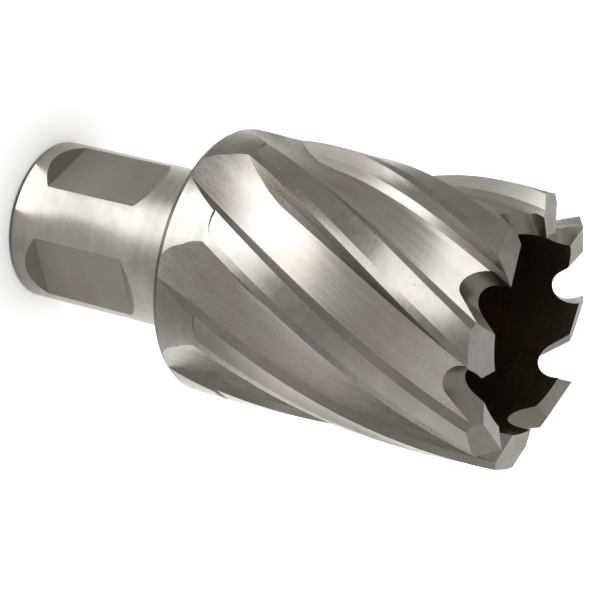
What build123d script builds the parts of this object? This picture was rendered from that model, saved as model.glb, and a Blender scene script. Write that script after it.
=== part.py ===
from build123d import *
import math
import os

# Annular cutter: one piece of ground tool steel.  Millimetres, axis on +Z, the
# driving end stands on z = 0 and the teeth point up.  Angles are in degrees,
# counted from +X toward +Y, and belong to the height of the outer cutting corners.

# Shank
SHANK_D = 19.05            # weldon shank, 3/4 inch
SHANK_LEN = 24.3           # end face to the back of the body
SHANK_CHAMFER = 0.4
PILOT_D = 6.4              # through hole for the ejector pin
PILOT_CHAMFER = 0.4

# Clamping flats, a quarter turn apart
FLAT_ANGLES = (-46.3, 43.7)
FLAT_DEPTH = 0.95          # below the round of the shank
FLAT_START = 3.8           # floor of the flat, lower end
FLAT_END = 15.75           # floor of the flat, upper end
FLAT_RAMP = 1.74           # axial run per millimetre of depth at both ends

# Body
CUT_D = 31.22              # over the margins
BORE_D = 22.42             # core cavity
BORE_FLOOR = 31.0          # height of the cavity floor
BORE_CONE = 1.0            # rise of the drill-point cone toward the wall
BACK_CHAMFER_R = 0.4       # radial
BACK_CHAMFER_Z = 0.65      # axial
EDGE_Z = 62.9              # height of the outer cutting corners
BLANK_TOP = 66.0           # height of the blank before the end grind

# Teeth and flutes
TEETH = 8
FIRST_TOOTH = 19.4         # angle of the first outer corner
HELIX_ANGLE = 29.34        # right hand, at the cutting diameter

# Flute cross-section, depths below the cutting radius at angles ahead of a corner
KINK = (1.48, 2.4)         # on the front wall of the tooth
FOOT = (2.33, 5.3)         # foot of the front wall
FLOOR_IN = (2.49, 7.7)     # floor begins
FLOOR_MID = (2.15, 19.0)
HEEL_FOOT = (1.12, 28.0)   # floor ends at the heel of the next land
HEEL_TOP = (0.23, 31.0)

# Backed-off land
MARGIN = 3.9               # angle of the round margin behind each corner
BACK_OFF = 0.23            # depth at the heel
HEEL = 14.0                # angle of the heel behind the corner
START_ANGLE = -72.4        # middle of the rounded start of the backed-off land
START_SIDE = -1.9
START_Z = 33.4
START_R = 3.85

# Run-out of the flutes at the back of the body: the grinding wheel lifts out on an arc
RUN_OUT_R = 16.6           # radius of the lifting arc, measured along the axis
RUN_OUT_Z = 38.4           # where the lift begins at the corner line
RUN_OUT_SLOPE = 0.265      # earlier by this much per degree ahead of the corner
RUN_OUT_STATIONS = (24.0, 25.0, 26.0, 27.0, 28.0, 29.3, 30.7, 32.2, 33.8, 35.5, 37.3, 39.2, 42.0)
FULL_STATIONS = 7          # more of them from there to HIGH_Z

# Gullets between the teeth, in a plane square to their fall
GULLET_ANGLE = -6.0        # direction of the gullet, from the corner
GULLET_FALL = 32.4         # fall toward the outside
GULLET_SIDE = 4.14         # middle of the round bottom
GULLET_DROP = 2.67         # lowest point under EDGE_Z, at the bore wall
GULLET_R = 2.12            # round bottom
GULLET_RAKE = 34.0         # lean of the tooth face
GULLET_BACK = 38.9         # slope of the back wall

# End faces: height over EDGE_Z at the corner, rise inward, rise toward the cutting side
SINGLE_BEVEL = (0.0, 0.219, 0.162)
OUTER_BEVEL = (0.0, 0.541, 0.205)
RIDGE = (13.24, 1.58, 1.606)  # across, ahead and height of the ridge on the second tooth
INNER_BEVEL = (0.363, 0.177)

R = CUT_D / 2
RB = BORE_D / 2
STEP = 360 / TEETH
TWIST = math.degrees(math.tan(math.radians(HELIX_ANGLE)) / R)   # degrees per mm
LOW_Z = 20.0
HIGH_Z = 70.0
FAR = R + 4


def polar(radius, angle):
    """Point in the plane of a section."""
    a = math.radians(angle)
    return (radius * math.cos(a), radius * math.sin(a))


def beyond(start, end, extra):
    """Point past end on the line from start."""
    dx, dy = end[0] - start[0], end[1] - start[1]
    size = math.hypot(dx, dy)
    return (end[0] + dx / size * extra, end[1] + dy / size * extra)


def curve_through(start, middle, end, share):
    """Quadratic curve that passes the middle point at that share of its way."""
    pull = tuple(
        (m - (1 - share) ** 2 * a - share ** 2 * b) / (2 * share * (1 - share))
        for a, m, b in zip(start, middle, end)
    )
    return Bezier(start, pull, end)


def twisted(section):
    """Section drawn at EDGE_Z in the frame of a tooth, swept along the helix."""
    low = section.face().rotate(Axis.Z, TWIST * (LOW_Z - EDGE_Z)).translate((0, 0, LOW_Z))
    rise = HIGH_Z - LOW_Z
    return Solid.extrude_linear_with_rotation(low, (0, 0, LOW_Z), (0, 0, rise), TWIST * rise)


def around(shape, every=1, offset=0):
    """Copies of a tooth-frame shape at the teeth."""
    return [
        shape.rotate(Axis.Z, FIRST_TOOTH + i * STEP)
        for i in range(offset, TEETH, every)
    ]


def blank():
    """Turned blank with the core cavity and the pilot hole."""
    rs = SHANK_D / 2
    rp = PILOT_D / 2
    profile = Polyline(
        (rp + PILOT_CHAMFER, 0), (rs - SHANK_CHAMFER, 0), (rs, SHANK_CHAMFER),
        (rs, SHANK_LEN), (R - BACK_CHAMFER_R, SHANK_LEN),
        (R, SHANK_LEN + BACK_CHAMFER_Z), (R, BLANK_TOP), (RB, BLANK_TOP),
        (RB, BORE_FLOOR + BORE_CONE), (RB - BORE_CONE, BORE_FLOOR),
        (rp, BORE_FLOOR), (rp, PILOT_CHAMFER), close=True,
    )
    return revolve(Plane.XZ * make_face(profile), Axis.Z)


def flats():
    """Clamping flats with ramped ends."""
    floor = SHANK_D / 2 - FLAT_DEPTH
    lift = FLAT_DEPTH + 2
    run = lift * FLAT_RAMP
    profile = make_face(Polyline(
        (floor, FLAT_START), (floor, FLAT_END), (floor + lift, FLAT_END + run),
        (floor + lift, FLAT_START - run), close=True,
    ))
    tool = extrude(Plane.XZ * profile, SHANK_D / 2, both=True)
    return [tool.rotate(Axis.Z, a) for a in FLAT_ANGLES]


def lift(angle, z):
    """Height of the wheel above full depth."""
    away = max(0.0, RUN_OUT_Z - RUN_OUT_SLOPE * angle - z)
    return away * away / (2 * RUN_OUT_R)


def wall_point(depth):
    """Point on the front wall, which bends at the kink and goes on straight above the round."""
    corner, kink, foot = (R, 0), polar(R - KINK[0], KINK[1]), polar(R - FOOT[0], FOOT[1])
    if depth <= KINK[0]:
        start, end, part = corner, kink, depth / KINK[0]
    else:
        start, end, part = kink, foot, (depth - KINK[0]) / (FOOT[0] - KINK[0])
    return (start[0] + (end[0] - start[0]) * part, start[1] + (end[1] - start[1]) * part)


def flute_station(z):
    """Outline of one flute at a height; its front wall stays on the corner line."""
    rise = lift(FOOT[1], z)
    for _ in range(12):
        left = max(0.0, FOOT[0] - rise)
        rise = (rise + lift(FOOT[1] * left / FOOT[0], z)) / 2
    outside = wall_point(-rise - 1.8)
    kink = wall_point(KINK[0] - rise)
    foot = wall_point(FOOT[0] - rise)
    start = polar(R - FLOOR_IN[0] + lift(FLOOR_IN[1], z), FLOOR_IN[1])
    middle = polar(R - FLOOR_MID[0] + lift(FLOOR_MID[1], z), FLOOR_MID[1])
    up = lift(HEEL_FOOT[1], z)
    heel = polar(R - HEEL_FOOT[0] + up, HEEL_FOOT[1])
    top = beyond(heel, polar(R - HEEL_TOP[0] + up, HEEL_TOP[1]), 2.4)
    far = polar(R + 3.0 + lift(14, z), 14)
    floor_share = (FLOOR_MID[1] - FLOOR_IN[1]) / (HEEL_FOOT[1] - FLOOR_IN[1])
    outline = Wire([
        Line(outside, kink), Line(kink, foot), Line(foot, start),
        curve_through(start, middle, heel, floor_share),
        Line(heel, top), Line(top, far), Line(far, outside),
    ])
    return outline.rotate(Axis.Z, TWIST * (z - EDGE_Z)).translate((0, 0, z))


def flute():
    """One helical flute with its run-out at the back."""
    last = RUN_OUT_STATIONS[-1]
    step = (HIGH_Z - last) / FULL_STATIONS
    heights = [*RUN_OUT_STATIONS, *(last + step * (i + 1) for i in range(FULL_STATIONS))]
    return Solid.make_loft([flute_station(z) for z in heights])


def back_off():
    """Backed-off part of one land with its rounded start."""
    front = polar(R, -MARGIN)
    heel = polar(R - BACK_OFF, -HEEL)
    section = make_face(Polyline(
        beyond(heel, front, 0.8), beyond(front, heel, 0.8),
        polar(FAR, -HEEL - 4), polar(FAR, -MARGIN + 4), close=True,
    ))
    start = Pos(START_SIDE, START_Z) * Circle(START_R)
    start += Pos(4, (START_Z + HIGH_Z + 2) / 2) * Rectangle(26, HIGH_Z + 2 - START_Z)
    start += Pos(START_SIDE + 9, START_Z) * Rectangle(18, START_R / 2)
    a = math.radians(START_ANGLE)
    plane = Plane(origin=(0, 0, 0), x_dir=(-math.sin(a), math.cos(a), 0),
                  z_dir=(math.cos(a), math.sin(a), 0))
    window = extrude(plane * start, FAR + 6)
    return twisted(section) & window


def gullet():
    """Round-bottomed gullet ahead of one tooth, falling toward the outside."""
    rake, back, fall = (math.radians(v) for v in (GULLET_RAKE, GULLET_BACK, GULLET_FALL))
    middle = (GULLET_SIDE, GULLET_R - GULLET_DROP * math.cos(fall))
    left = (middle[0] - GULLET_R * math.cos(rake), middle[1] + GULLET_R * math.sin(rake))
    right = (middle[0] + GULLET_R * math.sin(back), middle[1] - GULLET_R * math.cos(back))
    low = (middle[0], middle[1] - GULLET_R)
    tall, wide = 12.0, 16.0
    face_top = (left[0] + tall * math.tan(rake), left[1] + tall)
    wall_top = (right[0] + wide, right[1] + wide * math.tan(back))
    lid = (face_top[0], wall_top[1] + 1)
    profile = make_face([
        Line(face_top, left), ThreePointArc(left, low, right), Line(right, wall_top),
        Line(wall_top, lid), Line(lid, face_top),
    ])
    out = (math.cos(fall), 0, -math.sin(fall))
    plane = Plane(origin=(RB, 0, EDGE_Z), x_dir=(0, 1, 0), z_dir=out).offset(-6)
    return extrude(plane * profile, 16).rotate(Axis.Z, GULLET_ANGLE)


def above(height, inward, ahead, x0, y0):
    """Part of one tooth's sector above a bevel plane."""
    normal = Vector(inward, -ahead, 1)
    plane = Plane(origin=(x0, y0, height), z_dir=normal)
    sector = make_face(Polyline((0, 0), polar(30, -32), polar(30, -10), polar(30, 13), close=True))
    prism = extrude(Pos(0, 0, EDGE_Z - 8) * sector, 20)
    return split(prism, bisect_by=plane, keep=Keep.TOP)


def end_grind():
    """Two kinds of tooth in turn: a single bevel, and a ridge of two bevels."""
    rise, inward, ahead = SINGLE_BEVEL
    single = above(EDGE_Z + rise, inward, ahead, R, 0)
    rise, inward, ahead = OUTER_BEVEL
    outer = above(EDGE_Z + rise, inward, ahead, R, 0)
    across, forward, height = RIDGE
    inner = above(EDGE_Z + height, -INNER_BEVEL[0], INNER_BEVEL[1], across, forward)
    return around(single, 2, 0) + around(outer, 2, 1) + around(inner, 2, 1)


cutter = blank() - flats()
cutter = cutter - around(flute())
cutter = cutter - around(back_off())
cutter = cutter - around(gullet())
cutter = cutter - end_grind()

os.makedirs("parts", exist_ok=True)
export_step(cutter, "parts/cutter.step")
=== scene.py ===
"""Annular cutter of ground tool steel: finishes, studio and camera."""

import logging
import math
from collections.abc import Iterator
from dataclasses import dataclass, field
from enum import Enum

import bmesh
import bpy
from mathutils import Matrix, Vector


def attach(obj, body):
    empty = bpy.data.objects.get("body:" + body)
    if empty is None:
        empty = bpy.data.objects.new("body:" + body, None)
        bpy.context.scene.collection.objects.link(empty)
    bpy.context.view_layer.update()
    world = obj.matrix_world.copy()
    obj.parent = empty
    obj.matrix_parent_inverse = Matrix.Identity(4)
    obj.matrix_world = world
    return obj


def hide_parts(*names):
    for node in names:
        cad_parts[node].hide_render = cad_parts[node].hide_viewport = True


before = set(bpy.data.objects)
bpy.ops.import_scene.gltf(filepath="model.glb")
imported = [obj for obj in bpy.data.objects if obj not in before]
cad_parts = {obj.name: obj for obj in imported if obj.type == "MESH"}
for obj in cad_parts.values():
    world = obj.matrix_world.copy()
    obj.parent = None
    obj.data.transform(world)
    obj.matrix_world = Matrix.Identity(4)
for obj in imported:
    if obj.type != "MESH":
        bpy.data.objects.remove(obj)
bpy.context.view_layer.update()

LOG = logging.getLogger("cutter")
MM = 0.001

# Height of the lamps that lie on the floor, in metres.
LAMP_HEIGHT = 0.0005

RGB = tuple[float, float, float]
Pair = tuple[float, float]
Socket = bpy.types.NodeSocket


class Grain(Enum):
    """Direction in which the wheel left its marks."""

    AROUND = "around the axis"
    ALONG_FLUTE = "along the helix"
    ACROSS_FLAT = "across a flat"
    DOWN_GULLET = "across the fall of a gullet"
    CROSSED = "crossed marks on an end face"
    SHORT = "short marks around the axis"


# Scale, from metres, of the coordinates that the marks are drawn on. A mark is long where it is small.
GRAIN_SCALES: dict[Grain, RGB] = {
    Grain.AROUND: (40, 40, 1000),
    Grain.ALONG_FLUTE: (1000, 1000, 14),
    Grain.ACROSS_FLAT: (160, 160, 900),
    Grain.DOWN_GULLET: (60, 60, 60),
    Grain.CROSSED: (700, 700, 300),
    Grain.SHORT: (420, 420, 900),
}


class Zone(Enum):
    """Surfaces of the cutter, each ground in its own pass."""

    SHANK = "shank_round"
    FLAT = "clamping_flat"
    BACK = "back_faces"
    CHAMFER = "chamfer"
    OUTSIDE = "outside_round"
    LAND = "backed_off_land"
    FLOOR = "flute_floor"
    FRONT = "tooth_front_wall"
    HEEL = "heel_wall"
    START = "start_of_land"
    GULLET = "gullet"
    END = "end_face"
    CAVITY = "core_cavity"


@dataclass(frozen=True)
class Sizes:
    """Sizes of the cutter that its finishes need, in millimetres and degrees.

    Attributes:
        shank_length: Height of the body's back shoulder.
        back_height: Height under which lie the shank, the shoulder and the back chamfer.
        chamfer_reach: How near a chamfer lies to the shank's end or to the shoulder.
        outside_radius: Radius over the margins.
        margin_play: How far the mean radius of a margin may fall short of that.
        land_radius: Radius beyond which lie margins and lands.
        cavity_radius: Radius of the core cavity.
        cavity_play: How far its surfaces may lie beyond that.
        cavity_floor: Height over which the cavity lies.
        gullet_bottom: Height over which the gullets lie.
        gullet_radius: Radius under which the mean of a gullet's surface lies.
        gullet_fall: Slope of a gullet toward the outside.
        end_height: Height over which the end faces lie.
        helix_angle: Angle between a flute and the axis.
        flutes: Number of flutes.
        floor_middle: Direction of the middle of the first flute's floor, brought down to height 0.
        floor_lean: Turn of the floor's evened out normal away from straight out.
        start_wall_area: Area under which a heel wall is the start of a backed-off land, in mm².
        plane_angle: Angle up to which the triangles of a flat surface may differ.
    """

    shank_length: float = 24.3
    back_height: float = 25.2
    chamfer_reach: float = 1.0
    outside_radius: float = 15.61
    margin_play: float = 0.02
    land_radius: float = 15.3
    cavity_radius: float = 11.21
    cavity_play: float = 0.5
    cavity_floor: float = 30.0
    gullet_bottom: float = 59.0
    gullet_radius: float = 15.2
    gullet_fall: float = 32.4
    end_height: float = 61.5
    helix_angle: float = 29.34
    flutes: int = 8
    floor_middle: float = 41.25
    floor_lean: float = 10.0
    start_wall_area: float = 6.0
    plane_angle: float = 1.0

    @property
    def twist(self) -> float:
        """Turn of the helix in radians per metre of height."""
        return math.tan(math.radians(self.helix_angle)) / (self.outside_radius * MM)


@dataclass(frozen=True)
class Facing:
    """Limits on the outward or upward part of a surface's mean normal, which tell surfaces apart.

    Attributes:
        inward: Outward part below which a surface looks at the axis.
        steep: Upward or downward part above which it is no wall of the shank.
        chamfer: Outward part above which such a surface is a chamfer.
        end: Upward part above which it is an end face.
        gullet: Outward part below which it may belong to a gullet.
        floor: Outward part above which it is a flute's floor.
        outside: Outward part above which it is a margin or a land.
    """

    inward: float = -0.6
    steep: float = 0.45
    chamfer: float = 0.5
    end: float = 0.7
    gullet: float = 0.75
    floor: float = 0.8
    outside: float = 0.9


@dataclass(frozen=True)
class Wear:
    """What all ground surfaces share. Scales are per millimetre.

    Attributes:
        mark_detail: Detail of the fine marks.
        mark_harshness: Roughness of the noise that draws them.
        mark_noise: Its values between which their tone runs.
        mark_tone: Darkest and lightest tone of the marks.
        gloss_noise: Its values between which the gloss runs.
        streak_share: Scale of the broad streaks against that of the marks.
        streak_detail: Detail of the streaks.
        streak_noise: Noise values between which their tone runs.
        streak_tone: Darkest and lightest tone of the streaks.
        patch_scale: Scale of the warm patches.
        patch_detail: Detail of the patches.
        patch_noise: Noise values between which a patch fades in.
        pit_scale: Scale of the small pits.
        pit_rim: Distances from its middle between which a pit fades out, in cells.
        pit_share: How strongly a pit takes its own colour.
        pit_colour: That colour.
        pit_depth: Depth of a pit against that of the marks.
    """

    mark_detail: float = 4.0
    mark_harshness: float = 0.65
    mark_noise: Pair = (0.25, 0.75)
    mark_tone: Pair = (0.96, 1.03)
    gloss_noise: Pair = (0.2, 0.8)
    streak_share: float = 0.18
    streak_detail: float = 2.0
    streak_noise: Pair = (0.3, 0.7)
    streak_tone: Pair = (0.93, 1.05)
    patch_scale: float = 0.16
    patch_detail: float = 3.0
    patch_noise: Pair = (0.42, 0.66)
    pit_scale: float = 0.55
    pit_rim: Pair = (0.03, 0.06)
    pit_share: float = 0.6
    pit_colour: RGB = (0.12, 0.10, 0.08)
    pit_depth: float = 1.5


SIZES = Sizes()
FACING = Facing()
WEAR = Wear()


class Tree:
    """Short calls for the nodes of one material."""

    # Sockets of a Mix node for vectors and for colours, which share their names.
    vectors: tuple[int, int] = (4, 5)
    vector_result: int = 1
    colours: tuple[int, int] = (6, 7)
    colour_result: int = 2

    def __init__(self, name: str) -> None:
        """Starts an empty material.

        Args:
            name: Name of the material.
        """
        self.material = bpy.data.materials.new(name)
        self.material.use_nodes = True
        self.nodes = self.material.node_tree.nodes
        self.links = self.material.node_tree.links
        self.nodes.clear()
        self._object: Socket | None = None

    def add(self, kind: str, inputs: dict | None = None, **settings: object) -> bpy.types.Node:
        """Adds a node.

        Args:
            kind: Node type without its ShaderNode prefix.
            inputs: Socket name or number to a value, or to a socket to link.
            settings: Properties of the node.

        Returns:
            The new node.
        """
        node = self.nodes.new("ShaderNode" + kind)
        for key, value in settings.items():
            setattr(node, key, value)
        for key, value in (inputs or {}).items():
            if isinstance(value, Socket):
                self.links.new(value, node.inputs[key])
            else:
                node.inputs[key].default_value = value
        return node

    def calc(self, operation: str, *values: Socket | float) -> Socket:
        """Result of a Math node on numbers or sockets."""
        node = self.add("Math", dict(enumerate(values)), operation=operation)
        return node.outputs[0]

    def scaled(self, vector: Socket, scale: RGB) -> Socket:
        """Vector times a scale for each axis."""
        return self.add("VectorMath", {0: vector, 1: scale}, operation="MULTIPLY").outputs[0]

    def unit(self, vector: Socket) -> Socket:
        """Vector brought to length 1."""
        return self.add("VectorMath", {0: vector}, operation="NORMALIZE").outputs[0]

    def parts(self, vector: Socket) -> bpy.types.bpy_prop_collection:
        """The X, Y and Z of a vector, by name."""
        return self.add("SeparateXYZ", {0: vector}).outputs

    def joined(self, x: Socket | float, y: Socket | float, z: Socket | float) -> Socket:
        """Vector made of three numbers or sockets."""
        return self.add("CombineXYZ", {"X": x, "Y": y, "Z": z}).outputs[0]

    def place(self) -> Socket:
        """Object coordinates, in metres."""
        if self._object is None:
            self._object = self.add("TexCoord").outputs["Object"]
        return self._object

    def untwisted(self) -> Socket:
        """Object coordinates turned back along the helix, so that a flute runs straight up.

        Returns:
            A vector socket.
        """
        turn = self.calc("MULTIPLY", self.parts(self.place())["Z"], -SIZES.twist)
        inputs = {"Vector": self.place(), "Angle": turn}
        return self.add("VectorRotate", inputs, rotation_type="Z_AXIS").outputs[0]

    def from_axis(self) -> Socket:
        """Vector from the axis straight out to the point, in metres."""
        return self.scaled(self.place(), (1, 1, 0))

    def radius(self) -> Socket:
        """Distance from the axis, in metres."""
        return self.add("VectorMath", {0: self.from_axis()}, operation="LENGTH").outputs["Value"]

    def even_floor(self, share: float) -> Socket:
        """Normal of a flute floor, evened out toward a ribbon that winds along the helix.

        Args:
            share: How far it is evened out, from 0 to 1.

        Returns:
            A vector socket.
        """
        pitch = math.tau / SIZES.flutes
        middle = math.radians(SIZES.floor_middle)
        lean = math.radians(SIZES.floor_lean)
        spot = self.parts(self.untwisted())
        turn = self.calc("SUBTRACT", self.calc("ARCTAN2", spot["Y"], spot["X"]), middle)
        flute = self.calc("ROUND", self.calc("DIVIDE", turn, pitch))
        turn = self.calc("MULTIPLY_ADD", flute, pitch, middle + lean)
        turn = self.calc("MULTIPLY_ADD", spot["Z"], SIZES.twist, turn)
        ribbon = self.joined(self.calc("COSINE", turn), self.calc("SINE", turn), 0.0)
        return self.bent(ribbon, share)

    def outward(self, share: float) -> Socket:
        """Normal bent toward straight out from the axis, by a share from 0 to 1."""
        return self.bent(self.unit(self.from_axis()), share)

    def bent(self, goal: Socket, share: float) -> Socket:
        """Normal bent toward another direction.

        Args:
            goal: Direction toward which it is bent.
            share: How far, from 0 to 1.

        Returns:
            A vector socket.
        """
        normal = self.add("NewGeometry").outputs["Normal"]
        inputs = {0: share, self.vectors[0]: normal, self.vectors[1]: goal}
        return self.unit(self.add("Mix", inputs, data_type="VECTOR").outputs[self.vector_result])

    def grain(self, grain: Grain) -> Socket:
        """Coordinates that are drawn out along the marks of the wheel.

        Args:
            grain: Direction of the marks.

        Returns:
            A vector socket.
        """
        scale = GRAIN_SCALES[grain]
        if grain is Grain.ALONG_FLUTE:
            return self.scaled(self.untwisted(), scale)
        if grain is not Grain.DOWN_GULLET:
            return self.scaled(self.place(), scale)
        fall = math.radians(SIZES.gullet_fall)
        out = self.calc("MULTIPLY", self.radius(), math.cos(fall) / MM)
        down = self.calc("MULTIPLY", self.parts(self.place())["Z"], -math.sin(fall) / MM)
        slow = self.parts(self.scaled(self.place(), scale))
        return self.joined(self.calc("ADD", out, down), slow["X"], slow["Y"])

    def noise(self, vector: Socket, scale: float, detail: float, harshness: float = 0.6) -> Socket:
        """Noise value from 0 to 1.

        Args:
            vector: Coordinates that it is drawn on.
            scale: Its scale on them.
            detail: Layers of finer noise.
            harshness: Strength of the finer layers.

        Returns:
            A value socket.
        """
        inputs = {"Vector": vector, "Scale": scale, "Detail": detail, "Roughness": harshness}
        return self.add("TexNoise", inputs).outputs["Fac"]

    def span(self, value: Socket, source: Pair, target: Pair) -> Socket:
        """Value mapped from one range to another.

        Args:
            value: The value.
            source: Its low and high ends, beyond which it is clamped.
            target: What these become.

        Returns:
            A value socket.
        """
        names = ("From Min", "From Max", "To Min", "To Max")
        inputs = {"Value": value, **dict(zip(names, source + target))}
        return self.add("MapRange", inputs).outputs[0]

    def blend(self, factor: Socket, first: RGB | Socket, second: RGB) -> Socket:
        """Mix of two colours.

        Args:
            factor: 0 for the first, 1 for the second.
            first: A colour, or a socket that gives one.
            second: A colour.

        Returns:
            A colour socket.
        """
        start = first if isinstance(first, Socket) else (*first, 1)
        inputs = {0: factor, self.colours[0]: start, self.colours[1]: (*second, 1)}
        return self.add("Mix", inputs, data_type="RGBA").outputs[self.colour_result]

    def shaded(self, colour: Socket, tone: Socket) -> Socket:
        """Colour times a tone."""
        inputs = {0: colour, 1: self.joined(tone, tone, tone)}
        return self.add("VectorMath", inputs, operation="MULTIPLY").outputs[0]


@dataclass(frozen=True)
class Ground:
    """One ground steel finish, whose colour is partly painted light and shade.

    Attributes:
        zone: Surface that carries it.
        grain: Direction of the wheel marks.
        colour: Colour of the steel in reflection, set for each zone partly as painted light and shade.
        tint: Colour of its faint oily or heated patches.
        rough: Roughness of the surface.
        uneven: How far roughness varies.
        fine: Scale of the wheel marks, per millimetre.
        depth: Depth of the marks in millimetres.
        stretch: Anisotropy of the highlight.
        even: How far the normal is evened out, toward the flute's ribbon on a floor and straight
            out from the axis elsewhere.
    """

    zone: Zone
    grain: Grain
    colour: RGB
    tint: RGB = (0.315, 0.29, 0.255)
    rough: float = 0.27
    uneven: float = 0.06
    fine: float = 5.0
    depth: float = 0.0015
    stretch: float = 0.4
    even: float = 0.0

    def material(self) -> bpy.types.Material:
        """Steel with marks, streaks, patches, pits and uneven gloss.

        Returns:
            The material.
        """
        tree = Tree("steel_" + self.zone.value)
        grain = tree.grain(self.grain)
        marks = tree.noise(grain, self.fine, WEAR.mark_detail, WEAR.mark_harshness)
        millimetres = tree.scaled(tree.place(), (1 / MM, 1 / MM, 1 / MM))
        cells = {"Vector": millimetres, "Scale": WEAR.pit_scale, "Randomness": 1.0}
        pit = tree.span(tree.add("TexVoronoi", cells).outputs["Distance"], WEAR.pit_rim, (1.0, 0.0))
        gloss = (self.rough - self.uneven, self.rough + self.uneven)
        shader = tree.add("BsdfPrincipled", {
            "Base Color": self._colour(tree, grain, marks, millimetres, pit),
            "Metallic": 1.0,
            "Roughness": tree.span(marks, WEAR.gloss_noise, gloss),
            "Normal": self._relief(tree, marks, pit),
            "Anisotropic": self.stretch,
            "Tangent": tree.add("Tangent", direction_type="RADIAL", axis="Z").outputs[0],
        })
        tree.add("OutputMaterial", {"Surface": shader.outputs[0]})
        return tree.material

    def _colour(self, tree: Tree, grain: Socket, marks: Socket, millimetres: Socket, pit: Socket) -> Socket:
        """Colour with patches, streaks, marks and pits.

        Args:
            tree: The material's nodes.
            grain: Coordinates drawn out along the marks.
            marks: Noise that draws the marks.
            millimetres: Plain coordinates.
            pit: 1 in a pit, 0 outside.

        Returns:
            A colour socket.
        """
        patches = tree.noise(millimetres, WEAR.patch_scale, WEAR.patch_detail)
        streaks = tree.noise(grain, self.fine * WEAR.streak_share, WEAR.streak_detail)
        colour = tree.blend(tree.span(patches, WEAR.patch_noise, (0.0, 1.0)), self.colour, self.tint)
        tone = tree.calc(
            "MULTIPLY",
            tree.span(streaks, WEAR.streak_noise, WEAR.streak_tone),
            tree.span(marks, WEAR.mark_noise, WEAR.mark_tone),
        )
        dark = tree.calc("MULTIPLY", pit, WEAR.pit_share)
        return tree.blend(dark, tree.shaded(colour, tone), WEAR.pit_colour)

    def _relief(self, tree: Tree, marks: Socket, pit: Socket) -> Socket:
        """Normal with the relief of marks and pits.

        Args:
            tree: The material's nodes.
            marks: Noise that draws the marks.
            pit: 1 in a pit, 0 outside.

        Returns:
            A vector socket.
        """
        height = tree.calc("SUBTRACT", marks, tree.calc("MULTIPLY", pit, WEAR.pit_depth))
        relief = {"Strength": 1.0, "Distance": self.depth * MM, "Height": height}
        if self.even:
            floor = self.zone is Zone.FLOOR
            relief["Normal"] = tree.even_floor(self.even) if floor else tree.outward(self.even)
        return tree.add("Bump", relief).outputs[0]


# All zones are one steel. Their colours are set lighter or darker zone by zone, so the differences between
# them are partly painted light and shade.
FINISHES_AND_PAINTED_LIGHT: tuple[Ground, ...] = (
    Ground(Zone.SHANK, Grain.AROUND, colour=(0.235, 0.224, 0.205), rough=0.30, fine=4.0, depth=0.004,
           even=1.0),
    # Painted shade: the flats get a darker copy of the steel.
    Ground(Zone.FLAT, Grain.ACROSS_FLAT, colour=(0.175, 0.164, 0.146), tint=(0.155, 0.138, 0.118),
           rough=0.42, fine=2.0, depth=0.008),
    # Painted shade: the shoulder and the other back faces get a darker copy of the steel.
    Ground(Zone.BACK, Grain.AROUND, colour=(0.14, 0.133, 0.118), rough=0.25),
    # Painted shade: the chamfers at the shank's end and at the shoulder are coloured near black, so that
    # they show as a dark line.
    Ground(Zone.CHAMFER, Grain.AROUND, colour=(0.05, 0.047, 0.041), tint=(0.05, 0.044, 0.037), rough=0.35),
    Ground(Zone.OUTSIDE, Grain.AROUND, colour=(0.225, 0.214, 0.197), rough=0.26, even=1.0),
    Ground(Zone.LAND, Grain.SHORT, colour=(0.275, 0.262, 0.239), rough=0.24, fine=2.2, depth=0.006),
    Ground(Zone.FLOOR, Grain.ALONG_FLUTE, colour=(0.345, 0.328, 0.298), tint=(0.325, 0.287, 0.248),
           rough=0.28, uneven=0.07, fine=4.2, depth=0.0025, even=0.8),
    Ground(Zone.FRONT, Grain.ALONG_FLUTE, colour=(0.335, 0.318, 0.288), rough=0.26, depth=0.003),
    # Painted shade: the heel walls get a darker copy of the steel.
    Ground(Zone.HEEL, Grain.ALONG_FLUTE, colour=(0.235, 0.223, 0.2), rough=0.3),
    # Painted light: the small walls where the backed-off lands start are near white and rough, so that they
    # show as a light curve instead of the dark that they mirror.
    Ground(Zone.START, Grain.SHORT, colour=(0.85, 0.82, 0.76), rough=0.8),
    Ground(Zone.GULLET, Grain.DOWN_GULLET, colour=(0.31, 0.295, 0.266), rough=0.33, fine=2.5, depth=0.004),
    Ground(Zone.END, Grain.CROSSED, colour=(0.40, 0.39, 0.375), rough=0.42, stretch=0.0),
    Ground(Zone.CAVITY, Grain.AROUND, colour=(0.44, 0.36, 0.29), tint=(0.36, 0.28, 0.22), rough=0.3),
)


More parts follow.
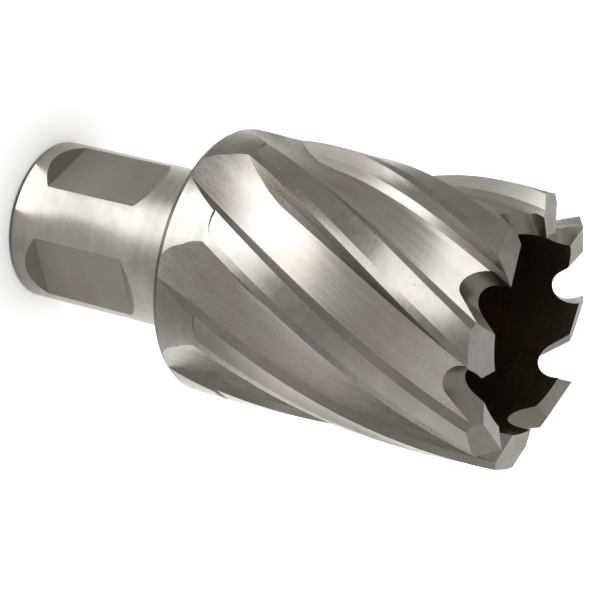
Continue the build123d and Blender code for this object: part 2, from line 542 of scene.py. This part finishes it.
@dataclass
class Face:
    """One surface of the cutter, gathered from its triangles."""

    triangles: list[bmesh.types.BMFace] = field(default_factory=list)

    def zone(self) -> Zone:
        """The surface's zone, from where it lies and which way it looks.

        Returns:
            The zone.
        """
        area = sum(t.calc_area() for t in self.triangles)
        radius = 0.0
        height = 0.0
        normal = Vector()
        for t in self.triangles:
            share = t.calc_area() / area
            middle = t.calc_center_median()
            out = Vector((middle.x, middle.y, 0)).normalized()
            side = Vector((-out.y, out.x, 0))
            radius += math.hypot(middle.x, middle.y) * share / MM
            height += middle.z * share / MM
            normal += Vector((t.normal.dot(out), t.normal.dot(side), t.normal.z)) * share
        zone = self._named(radius, height, normal)
        small = area < SIZES.start_wall_area * MM ** 2
        return Zone.START if zone is Zone.HEEL and small else zone

    def _plane(self) -> bool:
        """Whether the surface is flat."""
        tilt = max(t.normal.angle(self.triangles[0].normal) for t in self.triangles)
        return tilt < math.radians(SIZES.plane_angle)

    def _named(self, radius: float, height: float, normal: Vector) -> Zone:
        """Zone of a surface.

        Args:
            radius: Mean distance from the axis in millimetres.
            height: Mean height in millimetres.
            normal: Mean normal as outward, sideways and upward parts.

        Returns:
            The zone.
        """
        beside_cavity = radius < SIZES.cavity_radius + SIZES.cavity_play
        in_cavity = radius < SIZES.cavity_radius and height > SIZES.cavity_floor
        if in_cavity or beside_cavity and normal.x < FACING.inward:
            return Zone.CAVITY
        if height < SIZES.back_height:
            from_edge = min(height, abs(height - SIZES.shank_length))
            if abs(normal.z) > FACING.steep and from_edge < SIZES.chamfer_reach:
                return Zone.CHAMFER if normal.x > FACING.chamfer else Zone.BACK
            return Zone.FLAT if self._plane() else Zone.SHANK
        if height > SIZES.end_height and normal.z > FACING.end and self._plane():
            return Zone.END
        in_gullet = height > SIZES.gullet_bottom and radius < SIZES.gullet_radius
        if in_gullet and normal.x < FACING.gullet:
            return Zone.GULLET
        if normal.x > FACING.outside and radius > SIZES.land_radius:
            margin = radius > SIZES.outside_radius - SIZES.margin_play
            return Zone.OUTSIDE if margin else Zone.LAND
        if normal.x > FACING.floor:
            return Zone.FLOOR
        return Zone.FRONT if normal.y > 0 else Zone.HEEL


@dataclass(frozen=True)
class Cutter:
    """The cutter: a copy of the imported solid's own surfaces, dressed.

    Attributes:
        node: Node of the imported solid.
        name: Name of the dressed piece.
    """

    node: str = "cutter"
    name: str = "cutter_steel"

    def build(self) -> bpy.types.Object:
        """Copies the node's mesh and gives each zone its finish, with its painted light and shade.

        Returns:
            The dressed piece.
        """
        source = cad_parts[self.node]
        mesh = source.data.copy()
        piece = bpy.data.objects.new(self.name, mesh)
        bpy.context.scene.collection.objects.link(piece)
        mesh.materials.clear()
        for finish in FINISHES_AND_PAINTED_LIGHT:
            mesh.materials.append(finish.material())
        self._dress(mesh)
        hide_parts(self.node)
        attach(piece, "root")
        return piece

    def _dress(self, mesh: bpy.types.Mesh) -> None:
        """Gives each surface the material of its zone.

        Args:
            mesh: Mesh that holds the materials in the order of FINISHES_AND_PAINTED_LIGHT.
        """
        slots = {finish.zone: i for i, finish in enumerate(FINISHES_AND_PAINTED_LIGHT)}
        counts = dict.fromkeys(Zone, 0)
        work = bmesh.new()
        work.from_mesh(mesh)
        for face in self._faces(work):
            zone = face.zone()
            counts[zone] += 1
            for triangle in face.triangles:
                triangle.material_index = slots[zone]
        work.to_mesh(mesh)
        work.free()
        for zone, count in counts.items():
            LOG.info("%s: %d surfaces", zone.value, count)

    @staticmethod
    def _faces(work: bmesh.types.BMesh) -> Iterator[Face]:
        """Surfaces of the solid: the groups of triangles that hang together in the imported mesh.

        Args:
            work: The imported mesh, in which no two surfaces share a vertex.

        Yields:
            Each surface.
        """
        seen: set[int] = set()
        for start in work.faces:
            if start.index in seen:
                continue
            face = Face()
            queue = [start]
            seen.add(start.index)
            while queue:
                triangle = queue.pop()
                face.triangles.append(triangle)
                for edge in triangle.edges:
                    for other in edge.link_faces:
                        if other.index not in seen:
                            seen.add(other.index)
                            queue.append(other)
            yield face


@dataclass(frozen=True)
class Softbox:
    """One soft lamp, hidden from the camera.

    Attributes:
        name: What it does.
        place: Centre, in metres.
        size: Length and width, in metres.
        level: Brightness of its surface, where 1 is white.
        face: Direction in which it shines.
        along: Direction of its length.
        colour: Colour of its light.
        spread: Opening of its beam in degrees.
        oval: Whether it is an ellipse and not a rectangle.
        floor_only: Whether it lights the floor alone.
    """

    name: str
    place: RGB
    size: Pair
    level: float
    face: RGB = (0.0, 0.0, 1.0)
    along: RGB = (1.0, 0.0, 0.0)
    colour: RGB = (0.925, 0.957, 1.0)
    spread: float = 180.0
    oval: bool = False
    floor_only: bool = False

    def build(self, floor: bpy.types.Collection) -> None:
        """Adds the lamp.

        Args:
            floor: Collection that holds the floor.
        """
        data = bpy.data.lights.new(self.name, "AREA")
        data.shape = "ELLIPSE" if self.oval else "RECTANGLE"
        data.size, data.size_y = self.size
        share = math.pi / 4 if self.oval else 1.0
        data.energy = math.pi * share * self.size[0] * self.size[1] * self.level
        data.color = self.colour
        data.spread = math.radians(self.spread)
        lamp = bpy.data.objects.new(self.name, data)
        bpy.context.scene.collection.objects.link(lamp)
        back = -Vector(self.face).normalized()
        side = Vector(self.along)
        side = (side - back * side.dot(back)).normalized()
        lamp.location = self.place
        lamp.rotation_mode = "QUATERNION"
        lamp.rotation_quaternion = Matrix((side, back.cross(side), back)).transposed().to_quaternion()
        lamp.visible_camera = False
        if self.floor_only:
            lamp.light_linking.receiver_collection = floor


def on_floor(name: str, level: float, radius: float, turn: float, size: Pair, oval: bool = True) -> Softbox:
    """A lamp that lies on the floor, shines up and is mirrored in the steel.

    Args:
        name: What it does.
        level: Brightness of its surface, where 1 is white.
        radius: Distance of its middle from the cutter's axis, in metres.
        turn: Direction in which it lies, in degrees from +X.
        size: Size away from the axis and across, in metres.
        oval: Whether it is an ellipse and not a rectangle.

    Returns:
        The lamp.
    """
    away = Vector((math.cos(math.radians(turn)), math.sin(math.radians(turn)), 0.0))
    place = (away.x * radius, away.y * radius, LAMP_HEIGHT)
    return Softbox(name, place, size, level, along=tuple(away), oval=oval)


WHITE: RGB = (1.0, 1.0, 1.0)
DOWN: RGB = (0.0, 0.0, -1.0)

SOFTBOXES: tuple[Softbox, ...] = (
    on_floor("base_key", level=3.0, radius=0.017, turn=-18, size=(0.020, 0.010)),
    on_floor("near_key", level=3.2, radius=0.036, turn=-21, size=(0.036, 0.018)),
    on_floor("key_core", level=4.4, radius=0.069, turn=-23, size=(0.056, 0.040)),
    on_floor("key", level=2.7, radius=0.105, turn=-23, size=(0.160, 0.068)),
    on_floor("key_far", level=3.2, radius=0.200, turn=-20, size=(0.200, 0.120)),
    on_floor("key_edge", level=1.6, radius=0.062, turn=4, size=(0.035, 0.027), oval=False),
    on_floor("side", level=4.8, radius=0.500, turn=-50, size=(0.30, 0.26), oval=False),
    Softbox("left", place=(0.0, 0.9, 0.12), size=(0.9, 0.24), level=0.4, face=(0.0, -1.0, -0.08)),
    Softbox("back", place=(-0.7, 0.0, 0.42), size=(0.5, 0.5), level=0.9, face=(0.86, 0.0, -0.5),
            along=(0.0, 1.0, 0.0)),
    Softbox("background", place=(-0.150, 0.003, 0.035), size=(0.36, 0.15), level=1.4, face=DOWN,
            along=(0.97, 0.24, 0.0), spread=100.0, floor_only=True, colour=WHITE),
    Softbox("floor_left", place=(0.10, 0.28, 0.12), size=(0.44, 0.30), level=1.0, face=DOWN,
            spread=100.0, floor_only=True, colour=WHITE),
)


@dataclass(frozen=True)
class Studio:
    """Pale floor, soft lamps and plain surroundings.

    Attributes:
        floor_size: Length of the floor's sides, in metres.
        floor_colour: Colour of the floor.
        floor_rough: Its roughness.
        floor_specular: Strength of its faint gloss.
        surroundings: Colour of the world.
    """

    floor_size: float = 6.0
    floor_colour: RGB = (0.86, 0.86, 0.86)
    floor_rough: float = 0.9
    floor_specular: float = 0.1
    surroundings: RGB = (0.53, 0.515, 0.48)

    def build(self) -> None:
        """Builds floor, lamps and world."""
        floor = bpy.data.collections.new("floor")
        floor.objects.link(self._floor())
        for softbox in SOFTBOXES:
            softbox.build(floor)
        world = bpy.data.worlds.new("studio")
        world.use_nodes = True
        background = world.node_tree.nodes["Background"]
        background.inputs["Color"].default_value = (*self.surroundings, 1)
        bpy.context.scene.world = world

    def _floor(self) -> bpy.types.Object:
        """Pale matt floor under the shank end.

        Returns:
            The floor.
        """
        work = bmesh.new()
        bmesh.ops.create_grid(work, x_segments=1, y_segments=1, size=self.floor_size / 2)
        mesh = bpy.data.meshes.new("floor")
        work.to_mesh(mesh)
        work.free()
        floor = bpy.data.objects.new("floor", mesh)
        bpy.context.scene.collection.objects.link(floor)
        tree = Tree("floor_paper")
        shader = tree.add("BsdfPrincipled", {
            "Base Color": (*self.floor_colour, 1),
            "Roughness": self.floor_rough,
            "Specular IOR Level": self.floor_specular,
        })
        tree.add("OutputMaterial", {"Surface": shader.outputs[0]})
        mesh.materials.append(tree.material)
        return floor


@dataclass(frozen=True)
class Camera:
    """Camera at the photograph's viewing angle.

    Attributes:
        place: Position in metres.
        right: Direction of the picture's right edge.
        back: Direction from the object to the camera.
        lens: Focal length in millimetres.
        sensor: Width of the sensor in millimetres.
        reach: Nearest and farthest distance that it sees, in metres.
    """

    place: RGB = (0.21197, 0.00246, 0.14187)
    right: RGB = (-0.4370, -0.2407, 0.8667)
    back: RGB = (0.8929, 0.0, 0.4502)
    lens: float = 124.66
    sensor: float = 36.0
    reach: Pair = (0.01, 20.0)

    def build(self) -> None:
        """Adds the camera and makes it the scene's."""
        back = Vector(self.back).normalized()
        right = Vector(self.right)
        right = (right - back * right.dot(back)).normalized()
        up = back.cross(right)
        data = bpy.data.cameras.new("camera")
        data.lens = self.lens
        data.sensor_width = self.sensor
        data.clip_start, data.clip_end = self.reach
        camera = bpy.data.objects.new("camera", data)
        bpy.context.scene.collection.objects.link(camera)
        camera.matrix_world = Matrix((
            (right.x, up.x, back.x, self.place[0]),
            (right.y, up.y, back.y, self.place[1]),
            (right.z, up.z, back.z, self.place[2]),
            (0, 0, 0, 1),
        ))
        bpy.context.scene.camera = camera


def main() -> None:
    """Builds the dressed cutter, the studio and the camera."""
    logging.basicConfig(level=logging.INFO, format="%(message)s")
    bpy.context.scene.view_settings.view_transform = "Standard"
    piece = Cutter().build()
    LOG.info("%s: %d triangles", piece.name, len(piece.data.polygons))
    Studio().build()
    Camera().build()


if __name__ == "__main__":
    main()
